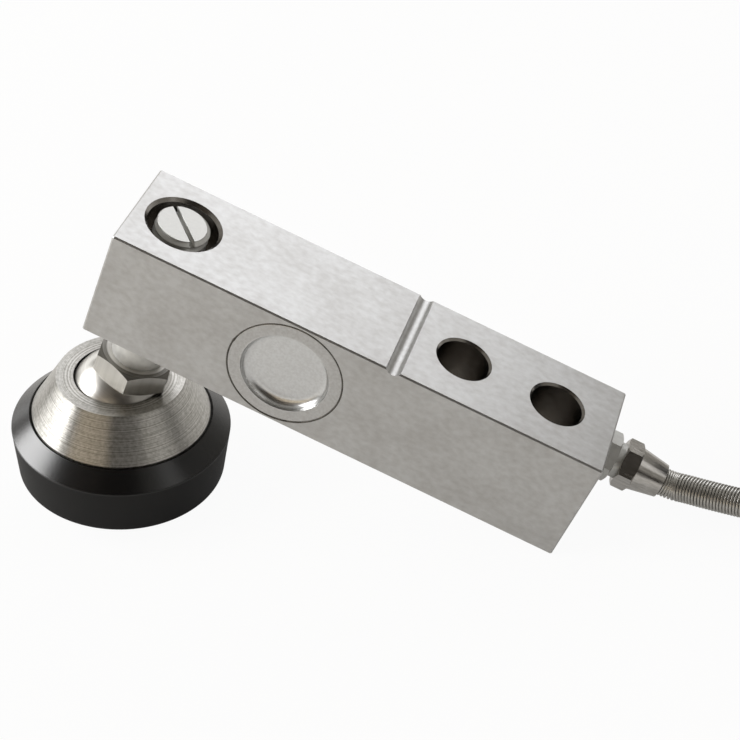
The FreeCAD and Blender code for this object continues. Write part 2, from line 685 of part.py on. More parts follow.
def make_cord_pieces(lying):
    """Spring and free cable from the tip of the gland to the coil, on the surface."""
    axis = Vector(BEAM_LENGTH, GLAND_OFFSET, 0)
    tip = lying.multVec(axis + Vector(GLAND_TIP, 0, 0))
    seat = lying.multVec(axis + Vector(SPRING_SEAT, 0, 0))
    bend = lying.multVec(axis + Vector(GLAND_TIP + CABLE_STRAIGHT, 0, 0))
    in_spring = [bend] + [Vector(tip.x + x, tip.y + y, z) for x, y, z in SPRING_ROUTE_FROM_TIP]
    past_spring = [Vector(tip.x + x, tip.y + y, z) for x, y, z in CABLE_ROUTE_FROM_TIP]
    lead_path, radii = bent_path([tip] + in_spring + past_spring)
    print("cable radii", [round(radius, 1) for radius in radii])
    pieces = {"cable_lead": swept(lead_path, CABLE_D)}
    plain_volume = math.pi * CABLE_D ** 2 / 4 * lead_path.Length
    print("cable lead length", round(lead_path.Length, 2))
    print("cable volume over section times length", pieces["cable_lead"].Volume / plain_volume)
    spring_end = (in_spring[-1] + past_spring[0]) / 2
    spring_path, radii = bent_path([seat] + in_spring + [spring_end])
    print("spring radii", [round(radius, 1) for radius in radii], "length", round(spring_path.Length, 2))
    pieces["anti_kink_spring"] = swept(spring_path, SPRING_D).cut(swept(spring_path, SPRING_BORE_D))
    coil = Vector(tip.x + COIL_CENTRE_FROM_TIP[0], tip.y + COIL_CENTRE_FROM_TIP[1], 0)
    pieces.update(make_coil_pieces(coil))
    return pieces


def report_places(lying):
    """Prints the places that the record states, in metres."""
    normal = lying.Rotation.multVec(Z_AXIS)
    holes = [lying.multVec(Vector(x, 0, 0)) for x in BOLT_X]
    between = (holes[0] + holes[1]) / 2
    face = between + normal * HALF_HEIGHT
    ball = lying.multVec(BALL_CENTRE)
    foot_up = lying.Rotation.multVec(Rotation(Vector(0, 1, 0), -SWIVEL_LIMIT).multVec(Z_AXIS))
    base = ball - foot_up * RUBBER_BOTTOM_DROP
    print("slope degrees", math.degrees(lying_slope()))
    places = {"inner_hole": holes[0], "outer_hole": holes[1], "bolts": between, "face": face}
    places.update({"ball": ball, "base": base})
    for name, place in places.items():
        print("place", name, [round(value / 1000, 7) for value in place])
    for name, way in (("normal", normal), ("foot_up", foot_up)):
        print("way", name, [round(value, 7) for value in way])


def main():
    """Builds every piece, lays the cell down and writes one file for each piece."""
    os.makedirs("parts", exist_ok=True)
    pieces = make_cell_pieces()
    lying = lying_placement(pieces)
    for piece in pieces.values():
        piece.Placement = lying * piece.Placement
    pieces.update(make_cord_pieces(lying))
    for name, piece in pieces.items():
        piece.exportStep("parts/" + name + ".step")
    report_places(lying)


main()
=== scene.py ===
# %% [markdown]
# # A shear beam load cell with a levelling foot
#
# This lesson dresses a finished CAD model of a load cell: a steel bar that bends a little under a load
# and measures it. The CAD model already has every solid at its real place.

# %% Load the frame
import json
import math

import bpy
import numpy as np
from mathutils import Matrix, Vector

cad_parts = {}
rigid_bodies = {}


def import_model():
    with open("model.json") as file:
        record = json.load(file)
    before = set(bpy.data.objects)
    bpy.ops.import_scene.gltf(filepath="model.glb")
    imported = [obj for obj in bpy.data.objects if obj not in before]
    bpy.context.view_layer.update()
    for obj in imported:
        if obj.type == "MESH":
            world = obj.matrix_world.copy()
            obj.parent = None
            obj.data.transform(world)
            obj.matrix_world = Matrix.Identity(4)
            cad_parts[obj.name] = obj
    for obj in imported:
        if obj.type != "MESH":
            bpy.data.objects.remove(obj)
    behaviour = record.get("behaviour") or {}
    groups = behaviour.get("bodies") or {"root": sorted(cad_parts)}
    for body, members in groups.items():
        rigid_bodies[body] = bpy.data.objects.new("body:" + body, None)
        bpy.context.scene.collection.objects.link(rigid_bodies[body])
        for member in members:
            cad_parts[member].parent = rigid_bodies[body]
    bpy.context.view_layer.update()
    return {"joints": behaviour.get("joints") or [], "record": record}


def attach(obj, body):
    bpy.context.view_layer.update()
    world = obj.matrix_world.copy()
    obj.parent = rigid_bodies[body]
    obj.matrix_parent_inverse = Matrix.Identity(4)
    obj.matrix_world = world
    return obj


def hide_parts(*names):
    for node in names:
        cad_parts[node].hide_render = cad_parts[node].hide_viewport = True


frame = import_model()

# %% [markdown]
# The cell lies as it was put down: on its foot and on the lower edge of its tail, so its own axes are
# sloped. Its places could be typed in by hand, but the frame already knows them. The screw's slide joint
# gives the way up from the beam's top face, and the beam's length is at right angles to that and to Y.

# %% Directions and places on the cell
MM = 0.001
ACROSS = np.array([0.0, 1.0, 0.0])
UPRIGHT = np.array([0.0, 0.0, 1.0])
TIP_FROM_BOLTS = 46.8 * MM
GLAND_OFFSET = 9.8 * MM

joints = {joint["name"]: joint for joint in frame["joints"]}
mounts = {mount["name"]: mount for mount in frame["record"]["mounts"]}
up_beam = np.array(joints["stud_height"]["axis"])
up_foot = np.array(joints["foot_spin"]["axis"])
along = np.cross(ACROSS, up_beam)
ball = np.array(joints["head_turn"]["pos_m"])
bolts = np.array(mounts["bolt_holes"]["pos_m"])
tip = bolts + along * TIP_FROM_BOLTS + ACROSS * GLAND_OFFSET
print("gland tip in mm:", np.round(tip / MM, 2))

# %% [markdown]
# The camera stands in front of the cell, a little towards the tail and above it, and is held slightly
# turned, so the bar runs down across the picture. A long lens keeps the bar's edges nearly parallel. A
# constraint could aim it, but a fixed matrix says the same in one line and leaves nothing live in the
# scene.

# %% Camera
CAMERA_PLACE = Vector((158.21, -352.31, 308.86)) * MM
CAMERA_AIM = Vector((15.94, 0.0, 42.18)) * MM
CAMERA_ROLL = math.radians(-9.565)
CAMERA_LENS = 90.03
SENSOR_WIDTH = 36.0
NEAREST_SEEN = 0.01


def put_in_scene(name, data):
    """A new object that holds this data, linked into the scene."""
    item = bpy.data.objects.new(name, data)
    bpy.context.scene.collection.objects.link(item)
    return item


camera_data = bpy.data.cameras.new("camera")
camera_data.lens = CAMERA_LENS
camera_data.sensor_width = SENSOR_WIDTH
camera_data.clip_start = NEAREST_SEEN
camera = put_in_scene("camera", camera_data)
look = (CAMERA_AIM - CAMERA_PLACE).to_track_quat("-Z", "Y").to_matrix()
rolled_look = look @ Matrix.Rotation(CAMERA_ROLL, 3, "Z")
camera.matrix_world = Matrix.Translation(CAMERA_PLACE) @ rolled_look.to_4x4()
bpy.context.scene.camera = camera
print("camera is", round((CAMERA_AIM - CAMERA_PLACE).length, 3), "m from what it looks at")

# %% [markdown]
# The cable is a fixed length of something flexible: about three metres of four-core lead, 5 mm thick. It
# leaves the gland along the gland's axis, bends down to the floor, and the length that isn't needed is wound
# into a neat coil of six layers with three turns each. A coil could be a separate ring, but a cable is one
# piece, so one smooth spline carries all of it: the listed points of the route, then the turns of the coil,
# worked out with one array of angles, then the free end on top of the coil.

# %% Points of the cable
CABLE_D = 5.0 * MM
CABLE_STRAIGHT = 3.0 * MM
# Each point of the route: X and Y from the gland's tip, and height above the floor.
ROUTE_FROM_TIP = np.array([
    (6.2, -0.85, 3.80),
    (11.4, -2.35, 3.76),
    (20.0, -4.5, 3.75),
    (28.5, -6.4, 3.70),
    (36.9, -9.3, 3.60),
    (44.8, -13.3, 3.60),
]) * MM
COIL_CENTRE = np.array([tip[0] + 58.9 * MM, tip[1] + 14.3 * MM, 0.0])
COIL_RADII = np.array([31.0, 26.0, 21.0]) * MM
COIL_HEIGHTS = np.array([3.6, 8.6, 13.6, 18.6, 23.6, 28.6]) * MM
COIL_START = 243.0
COIL_END = 157.0
TAIL_RADIUS = 26.0 * MM
TAIL_HEIGHT = 33.65 * MM
TAIL_ANGLES = (190.0, 270.0)
POINT_STEP = 15.0
STEP_OVER = 60.0


def round_coil(angles, radius, height):
    """Points on circles about the coil's centre: centre + (radius cos a, radius sin a, height) at each angle
    a in degrees. Radius and height may change with the angle."""
    turn = np.radians(angles)
    flat = np.stack([radius * np.cos(turn), radius * np.sin(turn), height + 0 * turn], axis=-1)
    return COIL_CENTRE + flat


def coil_turns():
    """Each turn keeps one radius and height, then slides to the next turn's over its last few steps. Layers
    wind inwards and outwards by turns, so the next turn is always beside or above the last."""
    radii = np.concatenate([COIL_RADII, COIL_RADII[::-1]] * (len(COIL_HEIGHTS) // 2))
    heights = np.repeat(COIL_HEIGHTS, len(COIL_RADII))
    sweep = 360.0 * len(radii) - (COIL_START - COIL_END)
    passed = np.arange(POINT_STEP, sweep, POINT_STEP)
    turn = (passed // 360.0).astype(int)
    share = np.clip((passed % 360.0 - (360.0 - STEP_OVER)) / STEP_OVER, 0, 1)
    share = share * share * (3 - 2 * share)
    after = np.minimum(turn + 1, len(radii) - 1)
    radius = radii[turn] + (radii[after] - radii[turn]) * share
    height = heights[turn] + (heights[after] - heights[turn]) * share
    return round_coil(COIL_START + passed, radius, height)


bend = tip + along * CABLE_STRAIGHT
route = ROUTE_FROM_TIP + np.array([tip[0], tip[1], 0.0])
tail = round_coil(np.arange(TAIL_ANGLES[0], TAIL_ANGLES[1] + 1, POINT_STEP), TAIL_RADIUS, TAIL_HEIGHT)
tail = np.vstack([tail, round_coil(np.array([TAIL_ANGLES[1]]), TAIL_RADIUS, TAIL_HEIGHT)])
cable_points = np.vstack([[tip], [bend], route, coil_turns(), tail])
print("cable points:", len(cable_points))

# %% [markdown]
# The cable's jacket is a round tube along that spline. A swept mesh would do, but a bevelled curve stays
# one line, which can be read back: without its bevel and turned into a mesh, it gives points along the
# smooth line, and the spring is carried along them later. The thickness is each point's radius times the
# bevel's depth. The radius is the cable's own and the depth is 1, because a curve's box grows by the
# radius alone.

# %% Cable
STEPS_BETWEEN_POINTS = 5
READ_BETWEEN_POINTS = 40
JACKET_ROUNDNESS = 4


def smooth_line(name, points, radius):
    """A curve of one open NURBS spline with these control points, each of this radius."""
    curve = bpy.data.curves.new(name, "CURVE")
    curve.dimensions = "3D"
    curve.resolution_u = STEPS_BETWEEN_POINTS
    spline = curve.splines.new("NURBS")
    spline.points.add(len(points) - 1)
    spline.points.foreach_set("co", np.column_stack([points, np.ones(len(points))]).ravel())
    spline.points.foreach_set("radius", np.full(len(points), radius))
    spline.order_u = 3
    spline.use_endpoint_u = True
    return curve


def line_points(points):
    """Points read along the smooth line that these control points give."""
    curve = smooth_line("line", points, CABLE_D / 2)
    curve.resolution_u = READ_BETWEEN_POINTS
    carrier = bpy.data.objects.new("line", curve)
    mesh = bpy.data.meshes.new_from_object(carrier)
    found = np.zeros(3 * len(mesh.vertices))
    mesh.vertices.foreach_get("co", found)
    bpy.data.objects.remove(carrier)
    bpy.data.curves.remove(curve)
    bpy.data.meshes.remove(mesh)
    return found.reshape(-1, 3)


cable_curve = smooth_line("cable", cable_points, CABLE_D / 2)
cable_curve.bevel_depth = 1.0
cable_curve.bevel_resolution = JACKET_ROUNDNESS
cable_curve.use_fill_caps = True
cable = put_in_scene("cable", cable_curve)
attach(cable, "beam")
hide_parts("cable_lead", "cable_coil", "cable_tail")
whole_line = line_points(cable_points)
line_steps = np.linalg.norm(np.diff(whole_line, axis=0), axis=1)
print("cable length in m:", round(float(line_steps.sum()), 3))

# %% [markdown]
# Every new rigid piece is a tube of rings: a grid of points with one parameter along the piece and one
# round it. Blender's own cylinders and tori would need bending afterwards, while a grid can be worked out
# in its final place. One function turns such a grid into a closed mesh, and another puts it in the scene
# on a body.

# %% Meshes from rings


def mesh_from_rings(name, rings, joined=False):
    """Closed mesh from rings[i, j]: i runs along the piece and j runs round it. Joined, its ends meet each
    other; otherwise each end gets a flat face."""
    along_count, round_count = rings.shape[:2]
    start = np.arange(along_count if joined else along_count - 1)[:, None] * round_count
    after = (start + round_count) % (along_count * round_count)
    here = np.arange(round_count)[None, :]
    beside = (here + 1) % round_count
    quads = np.stack([start + here, start + beside, after + beside, after + here], -1).reshape(-1, 4)
    faces = quads.tolist()
    if not joined:
        faces.append(list(range(round_count))[::-1])
        faces.append(list(range((along_count - 1) * round_count, along_count * round_count)))
    mesh = bpy.data.meshes.new(name)
    mesh.from_pydata(rings.reshape(-1, 3).tolist(), [], faces)
    mesh.polygons.foreach_set("use_smooth", [True] * len(quads) + [False] * (len(faces) - len(quads)))
    mesh.update()
    return mesh


def add_piece(name, mesh, body):
    """Puts a mesh in the scene as a piece that rides on a body."""
    piece = put_in_scene(name, mesh)
    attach(piece, body)
    print(name, "has", len(mesh.polygons), "faces")
    return piece


# %% [markdown]
# The spring follows the first part of the cable's line, from its seat inside the gland nut. The points of
# that line aren't evenly spaced, and a spring has the same pitch all along. So the line is read again at
# even distances: the distance passed at each point is added up, and the points at evenly spaced distances
# are found between their neighbours.

# %% Line of the spring
SPRING_D = 7.4 * MM
SPRING_WIRE_D = 0.8 * MM
SPRING_PITCH = 0.835 * MM
SPRING_SEAT = 4.35 * MM
SPRING_LENGTH = 29.5 * MM
POINTS_PER_TURN = 28
NEAR_PARTS = 8


def resampled(line, spacing, start=0.0, end=None):
    """Points evenly spaced by arc length along a line, from one distance to another, with the distances."""
    passed = np.concatenate([[0], np.cumsum(np.linalg.norm(np.diff(line, axis=0), axis=1))])
    end = passed[-1] if end is None else end
    wanted = np.linspace(start, end, max(2, int(round((end - start) / spacing)) + 1))
    return np.column_stack([np.interp(wanted, passed, line[:, k]) for k in range(3)]), wanted


near_line = whole_line[: len(whole_line) // NEAR_PARTS]
spring_line = np.vstack([tip - along * SPRING_SEAT, near_line])
spring_points, spring_passed = resampled(
    spring_line,
    SPRING_PITCH / POINTS_PER_TURN,
    SPRING_WIRE_D / 2,
    SPRING_LENGTH - SPRING_WIRE_D / 2,
)
print("points along the spring:", len(spring_points))

# %% [markdown]
# The anti-kink spring is close-wound wire that slips over the cable and is held in the mouth of the gland
# nut. It could be a screw modifier on a circle, but it has to bend with the cable, so the wire's centre
# circles the cable's own line and the wire's round section follows that centre.

# %% Anti-kink spring
WIRE_SIDES = 8


def unit(vectors):
    """Vectors of length one."""
    return vectors / np.linalg.norm(vectors, axis=-1, keepdims=True)


def square_to(line):
    """Two directions square to each step of a line: a level one, and one that rises from it."""
    way = unit(np.gradient(line, axis=0))
    side = unit(np.cross(way, UPRIGHT))
    return side, np.cross(side, way)


def circles(centres, first, second, radius, count):
    """Circles about centres: centre + radius (cos v first + sin v second), with v in equal steps."""
    v = np.linspace(0, 2 * math.pi, count, endpoint=False)[None, :, None]
    return centres[:, None] + radius * (np.cos(v) * first[:, None] + np.sin(v) * second[:, None])


def helix_rings(line, passed, coil_radius, wire_radius, pitch, turned=0.0):
    """Wire wound round a line: its centre is the line's point + coil_radius (cos a side + sin a lift), where
    a grows by a full turn for each pitch along the line. The wire is a circle about that centre, in the
    plane of the way out from the line and the way across the wire."""
    side, lift = square_to(line)
    a = (2 * math.pi * passed / pitch + turned)[:, None]
    out = np.cos(a) * side + np.sin(a) * lift
    centre = line + coil_radius * out
    across = np.cross(unit(np.gradient(centre, axis=0)), out)
    return circles(centre, out, across, wire_radius, WIRE_SIDES)


spring_rings = helix_rings(
    spring_points,
    spring_passed,
    (SPRING_D - SPRING_WIRE_D) / 2,
    SPRING_WIRE_D / 2,
    SPRING_PITCH,
)
spring = add_piece("spring", mesh_from_rings("spring", spring_rings), "beam")
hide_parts("anti_kink_spring")
print("spring turns:", round(float(spring_passed[-1] / SPRING_PITCH), 1))

# %% [markdown]
# The cable ends bare, as such cells are sold: four coloured cores with tinned tips, and the shield's
# strands twisted into a tail. They lie on the coil in an arc, one beside the other. Bevelled curves would
# do for the cores, but a tube of rings can be cut where the insulation ends, and a thinner one goes on as
# the bare tip. The shield is three wires wound round one arc, as the spring's wire is.

# %% Bare cores
CORE_D = 1.3 * MM
CORE_SPACING = 1.0 * MM
CORE_ANGLES = (270.0, 320.0)
CORE_STEPS = 90
CORE_SIDES = 12
CORE_BARE_SHARE = 0.24
CORE_COPPER_SHARE = 0.55
TIP_SIDES = 10
TIP_OVERLAP = 2
CORE_ORDER = ["core_red", "core_green", "shield_tail", "core_white", "core_black"]
STRAND_D = 0.62 * MM
STRAND_OFFSET = 0.32 * MM
STRAND_PITCH = 7.0 * MM
STRAND_STEP = 0.35 * MM
STRAND_TURNS = np.radians([90, 210, 330])


def tube_rings(centres, radius, count):
    """Circles square to a line: centre + radius (cos v side - sin v lift). The minus turns faces outwards."""
    side, lift = square_to(centres)
    return circles(centres, side, -lift, radius, count)


end_pieces = []
for place, name in enumerate(CORE_ORDER):
    aside = (place - (len(CORE_ORDER) - 1) / 2) * CORE_SPACING
    height = TAIL_HEIGHT + (CORE_D / 2 if place % 2 else -CORE_D / 2)
    arc = round_coil(np.linspace(*CORE_ANGLES, CORE_STEPS), TAIL_RADIUS + aside, height)
    if name == "shield_tail":
        arc_points, arc_passed = resampled(arc, STRAND_STEP)
        for number, turned in enumerate(STRAND_TURNS):
            rings = helix_rings(
                arc_points, arc_passed, STRAND_OFFSET, STRAND_D / 2, STRAND_PITCH, turned
            )
            mesh = mesh_from_rings("strand", rings)
            end_pieces.append(add_piece(f"shield_strand_{number}", mesh, "beam"))
        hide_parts(name)
    else:
        cut = int(len(arc) * (1 - CORE_BARE_SHARE))
        rings = tube_rings(arc[:cut], CORE_D / 2, CORE_SIDES)
        core = add_piece(name + "_insulation", mesh_from_rings(name, rings), "beam")
        rings = tube_rings(arc[cut - TIP_OVERLAP:], CORE_D / 2 * CORE_COPPER_SHARE, TIP_SIDES)
        copper = add_piece(name + "_tip", mesh_from_rings(name + "_tip", rings), "beam")
        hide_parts(name)
        end_pieces += [core, copper]
print("pieces at the bare end:", len(end_pieces))

# %% [markdown]
# A cable can lie in many ways, and only its facts stay the same: how long and thick it is, where it
# leaves the cell, how stiff it is and what sits on it. The spring, the two ties round the coil and the
# bare end belong to it.

# %% [markdown]
# The levelling screw has a plain shank above the hexagon, then a coarse 14 mm thread up to its end. A
# thread could be a profile turned by a screw modifier, but its run-out and chamfers would need cutting.
# Here it is one surface of two parameters: the radius at an angle and a height is a zigzag of the height
# less the pitch times the share of a full turn.

# %% Thread of the levelling screw
SCREW_D = 14.0 * MM
SCREW_FROM_BALL = (4.0 * MM, 63.1 * MM)
SCREW_CHAMFER = 0.5 * MM
SCREW_SIDES = 72
THREAD_PITCH = 2.0 * MM
THREAD_DEPTH = 1.1 * MM
THREAD_CREST = 0.3
THREAD_FROM_BALL = 31.5 * MM
ROWS_PER_PITCH = 14


def threaded_rod(low, high):
    """Rings of a screw on the beam's up axis: the radius falls from crest to root and back once for each
    pitch, measured up from the screw line, more deeply as the plain shank runs out, and both ends have a
    chamfer."""
    step = THREAD_PITCH / ROWS_PER_PITCH
    rows = np.arange(low, high + step / 2, step)
    rows[-1] = high
    around = np.linspace(0, 2 * math.pi, SCREW_SIDES, endpoint=False)
    wave = (rows[:, None] / THREAD_PITCH - around[None, :] / (2 * math.pi)) % 1.0
    flank = np.clip(np.abs(2 * wave - 1) * (1 + THREAD_CREST) - THREAD_CREST / 2, 0, 1)
    depth = THREAD_DEPTH * np.clip((rows - THREAD_FROM_BALL) / THREAD_PITCH, 0, 1)[:, None]
    radius = SCREW_D / 2 - depth * (1 - flank)
    from_end = np.minimum(rows - low, high - rows)[:, None]
    radius = np.minimum(radius, SCREW_D / 2 - SCREW_CHAMFER + from_end)
    flat = radius[..., None] * (np.cos(around)[:, None] * along + np.sin(around)[:, None] * ACROSS)
    return ball + flat + rows[:, None, None] * up_beam


rod = mesh_from_rings("screw", threaded_rod(*SCREW_FROM_BALL))
print("rings of the screw:", len(rod.vertices) // SCREW_SIDES)

# %% [markdown]
# The screw is turned with a driver from above, so a slot is sawn across its upper end. The slot could be
# part of the screw's surface, but its straight walls cut across the rings, so it is sawn as the real one
# is: a thin block is taken out of the end with a boolean, and its result becomes the screw's mesh.

# %% Slot of the levelling screw
SLOT_WIDTH = 1.3 * MM
SLOT_DEPTH = 2.0 * MM
SLOT_ANGLE = math.radians(-49.0)
CORNER_SIGNS = np.array([(-1, -1), (1, -1), (1, 1), (-1, 1)])


def sawn(mesh, block):
    """The mesh with a block taken out of it."""
    work = put_in_scene("work", mesh)
    saw = put_in_scene("saw", block)
    cut = work.modifiers.new("slot", "BOOLEAN")
    cut.operation = "DIFFERENCE"
    cut.solver = "EXACT"
    cut.object = saw
    bpy.context.view_layer.update()
    evaluated = work.evaluated_get(bpy.context.evaluated_depsgraph_get())
    result = bpy.data.meshes.new_from_object(evaluated)
    bpy.data.objects.remove(work)
    bpy.data.objects.remove(saw)
    return result


slot_way = math.cos(SLOT_ANGLE) * along + math.sin(SLOT_ANGLE) * ACROSS
slot_side = np.cross(up_beam, slot_way)
slot_flat = CORNER_SIGNS[:, :1] * slot_way * SCREW_D + CORNER_SIGNS[:, 1:] * slot_side * SLOT_WIDTH / 2
slot_levels = np.array([SCREW_FROM_BALL[1] - SLOT_DEPTH, SCREW_FROM_BALL[1] + SLOT_DEPTH])
slot_block = mesh_from_rings("slot", ball + slot_flat[None] + slot_levels[:, None, None] * up_beam)
screw_mesh = sawn(rod, slot_block)
screw_mesh.name = "screw"
screw = add_piece("screw", screw_mesh, "screw")
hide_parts("levelling_screw")

# %% [markdown]
# A fine weld closes the gap between each cover and the beam. It could be a torus, but a weld is a ring of
# beads: a circle carried round the seam, a little below the surface, whose radius swells and shrinks with
# each pulse of the weld and grows where the end of the weld overlaps its start. The gap itself would be a
# hard black line, and a weld, painted dark with the groove's shade, reads as a soft grey one.

# %% Weld seams
SEAM_RADIUS = 14.9 * MM
SEAM_BEAD = 0.27 * MM
SEAM_SUNK = 0.17 * MM
SEAM_STEPS = 900
SEAM_SIDES = 8
SEAM_PULSES = 150
SEAM_SWELL = 0.05
SEAM_OVERLAP = 0.5
SEAM_OVERLAP_AT = math.radians(168.0)
SEAM_OVERLAP_SPREAD = math.radians(2.5)
COVER_FROM_BOLTS = -50.8 * MM
HALF_WIDTH = 15.9 * MM
cover_centre = bolts + along * COVER_FROM_BOLTS


def weld_rings(side):
    """Circles round the seam: at an angle u, of radius bead (1 + swell cos(pulses u) + overlap bump at its
    angle) about a point on the seam's circle, sunk below the face of the beam."""
    u = np.linspace(0, 2 * math.pi, SEAM_STEPS, endpoint=False)
    bump = np.exp(-(((u - SEAM_OVERLAP_AT) / SEAM_OVERLAP_SPREAD) ** 2))
    bead = SEAM_BEAD * (1 + SEAM_SWELL * np.cos(SEAM_PULSES * u) + SEAM_OVERLAP * bump)
    out = np.cos(u)[:, None] * along + np.sin(u)[:, None] * up_beam
    centre = cover_centre + SEAM_RADIUS * out + (HALF_WIDTH - SEAM_SUNK) * side * ACROSS
    across = np.broadcast_to(ACROSS, out.shape)
    return circles(centre, out, across, bead[:, None, None], SEAM_SIDES)


for side, name in ((-1, "front_weld"), (1, "rear_weld")):
    add_piece(name, mesh_from_rings(name, weld_rings(side), joined=True), "beam")

# %% [markdown]
# Materials come next. Each starts from what the real one is and how it was made. Colours are written as
# the eye sees them, so one function turns a hex value into the linear values that light works with. One
# small function adds a node with its settings and links, and every finish is made of such nodes. Pattern
# sizes are in millimetres: a scale is how many of them fit in a metre.

# %% Material helpers


def linear(hex_colour):
    """Linear red, green, blue and alpha of an sRGB hex colour."""
    values = [int(hex_colour[k:k + 2], 16) / 255 for k in (1, 3, 5)]
    return [v / 12.92 if v <= 0.04045 else ((v + 0.055) / 1.055) ** 2.4 for v in values] + [1.0]


def per_metre(size_mm):
    """Scale of a pattern whose features are this many millimetres apart."""
    return 1000.0 / size_mm


def feed(node, links):
    """Links what feeds a node's sockets. A node among the sources stands for its first output."""
    for name, source in links.items():
        output = source.outputs[0] if isinstance(source, bpy.types.Node) else source
        node.id_data.links.new(output, node.inputs[name])


def add_node(tree, kind, settings=None, links=None):
    """Adds one node. settings holds its properties, the values of its sockets and, for a colour ramp, its
    stops as pairs of a position and a colour. links holds what feeds its sockets."""
    node = tree.nodes.new(kind)
    for name, value in (settings or {}).items():
        if name == "stops":
            for stop, (position, colour) in zip(node.color_ramp.elements, value):
                stop.position = position
                stop.color = linear(colour)
        elif isinstance(name, int) or name in node.inputs:
            node.inputs[name].default_value = value
        else:
            setattr(node, name, value)
    feed(node, links or {})
    return node


def new_material(name, **sockets):
    """A material with one Principled shader, its node tree, the shader, and Object coordinates."""
    material = bpy.data.materials.new(name)
    material.use_nodes = True
    tree = material.node_tree
    shader = tree.nodes["Principled BSDF"]
    for socket, value in sockets.items():
        shader.inputs[socket.replace("_", " ")].default_value = value
    place = add_node(tree, "ShaderNodeTexCoord").outputs["Object"]
    return material, tree, shader, place


def dress(material, *names):
    """Gives a material to CAD nodes and pieces."""
    for name in names:
        data = bpy.data.objects[name].data
        data.materials.clear()
        data.materials.append(material)
    print(material.name, "on", ", ".join(names))


print("a middle grey, #808080, is", round(linear("#808080")[0], 3), "in linear light")

# %% [markdown]
# Many surfaces carry one finish all over. What made it, such as a die or a bath, left marks that show
# twice: in the colour and in the gloss. Each could have a pattern of its own, but then the two would
# drift apart, so one pattern gives both.

# %% One finish on a piece
TONE_LIMITS = (0.35, 0.65)
GLOSS_LIMITS = {"From Min": 0.3, "From Max": 0.7}


def one_finish(tree, shader, pattern, colours, roughness, tone_limits=TONE_LIMITS):
    """Colour and roughness go from a first to a last value as a pattern goes from its low to its high
    limit."""
    stops = list(zip(tone_limits, colours))
    colour = add_node(tree, "ShaderNodeValToRGB", {"stops": stops}, {"Fac": pattern})
    ends = {"To Min": roughness[0], "To Max": roughness[1]}
    gloss = add_node(tree, "ShaderNodeMapRange", {**GLOSS_LIMITS, **ends}, {"Value": pattern})
    feed(shader, {"Base Color": colour, "Roughness": gloss})


print("a colour goes from first to last while its pattern goes from", TONE_LIMITS[0], "to", TONE_LIMITS[1])

# %% [markdown]
# Some pieces carry two finishes: a bored hole in a ground bar, a burnished dish in a flat ring. They
# could be cut into two materials by face, but a CAD mesh is left as it is, so the place on the piece
# decides. Which finish a point has depends on its distance from an axis. A mapping node moves and turns
# the place so that the axis goes through the origin, and the length of what is left without the axis's
# own coordinate is that distance. The share of the second finish gives the roughness and, with a little
# grain added, the colour.

# %% Two finishes on one piece
GRAIN_SHARE = 0.34
GRAIN_LIMITS = (0.37, 0.63)
ABOUT_UP = (1, 1, 0)
ABOUT_ACROSS = (1, 0, 1)
beam_slope = math.atan2(-along[2], along[0])


def beam_place(tree, place, stretch=1.0):
    """Place along, across and up the beam from the middle of its bolt holes, with lengths along it divided
    by the stretch."""
    settings = {
        "vector_type": "TEXTURE",
        "Location": bolts,
        "Rotation": (0.0, beam_slope, 0.0),
        "Scale": (stretch, 1.0, 1.0),
    }
    return add_node(tree, "ShaderNodeMapping", settings, {"Vector": place})


def from_axis(tree, place, kept):
    """Distance from an axis through the origin: the length of the place with only the kept coordinates."""
    flat = add_node(tree, "ShaderNodeVectorMath", {"operation": "MULTIPLY", 1: kept}, {0: place})
    return add_node(tree, "ShaderNodeVectorMath", {"operation": "LENGTH"}, {0: flat}).outputs["Value"]


def two_finishes(tree, shader, share, grain, colours, roughness):
    """Colour and roughness go from a first to a second finish as a share goes from 0 to 1. The colour's
    factor is the grain's part of it plus the share times the rest."""
    low, high = GRAIN_LIMITS
    part = {"From Min": low, "From Max": high, "To Max": GRAIN_SHARE}
    speckle = add_node(tree, "ShaderNodeMapRange", part, {"Value": grain})
    rest = add_node(tree, "ShaderNodeMapRange", {"To Max": 1.0 - GRAIN_SHARE}, {"Value": share})
    factor = add_node(tree, "ShaderNodeMath", {"operation": "ADD"}, {0: speckle, 1: rest})
    stops = list(zip((0.0, 1.0), colours))
    colour = add_node(tree, "ShaderNodeValToRGB", {"stops": stops}, {"Fac": factor})
    ends = {"To Min": roughness[0], "To Max": roughness[1]}
    gloss = add_node(tree, "ShaderNodeMapRange", ends, {"Value": share})
    feed(shader, {"Base Color": colour, "Roughness": gloss})


print("the beam slopes by", round(math.degrees(beam_slope), 2), "degrees")

# %% [markdown]
# The beam is alloy steel, ground on all sides and nickel plated. To the eye it is satin, with a fine grain
# along its length and faint clouds where the plate took unevenly. The wheel's scratches are too fine to show,
# so they are drawn wider, as short strokes. The counterbore and the bolt holes are cut after the grinding,
# and a cut surface is smoother; their walls are also painted darker, with the shade that falls in the holes.
# Both bolt holes are the same distance from the middle between them, so the distance along the beam without
# its sign serves both.

# %% Ground and plated steel
STROKE_WIDTH = 1.6
STROKE_STRETCH = 1.4
CLOUD_WIDTH = 14.0
CLOUD_SHARE = 0.4
PIT_WIDTH = 0.9
PIT_DEPTH = 0.004 * MM
LOAD_FROM_BOLTS = -88.9 * MM
BOLT_SPACING = 25.4 * MM
COUNTERBORE_EDGE = 9.95 * MM
BOLT_HOLE_EDGE = 7.35 * MM
CUT_EDGE = 0.05 * MM

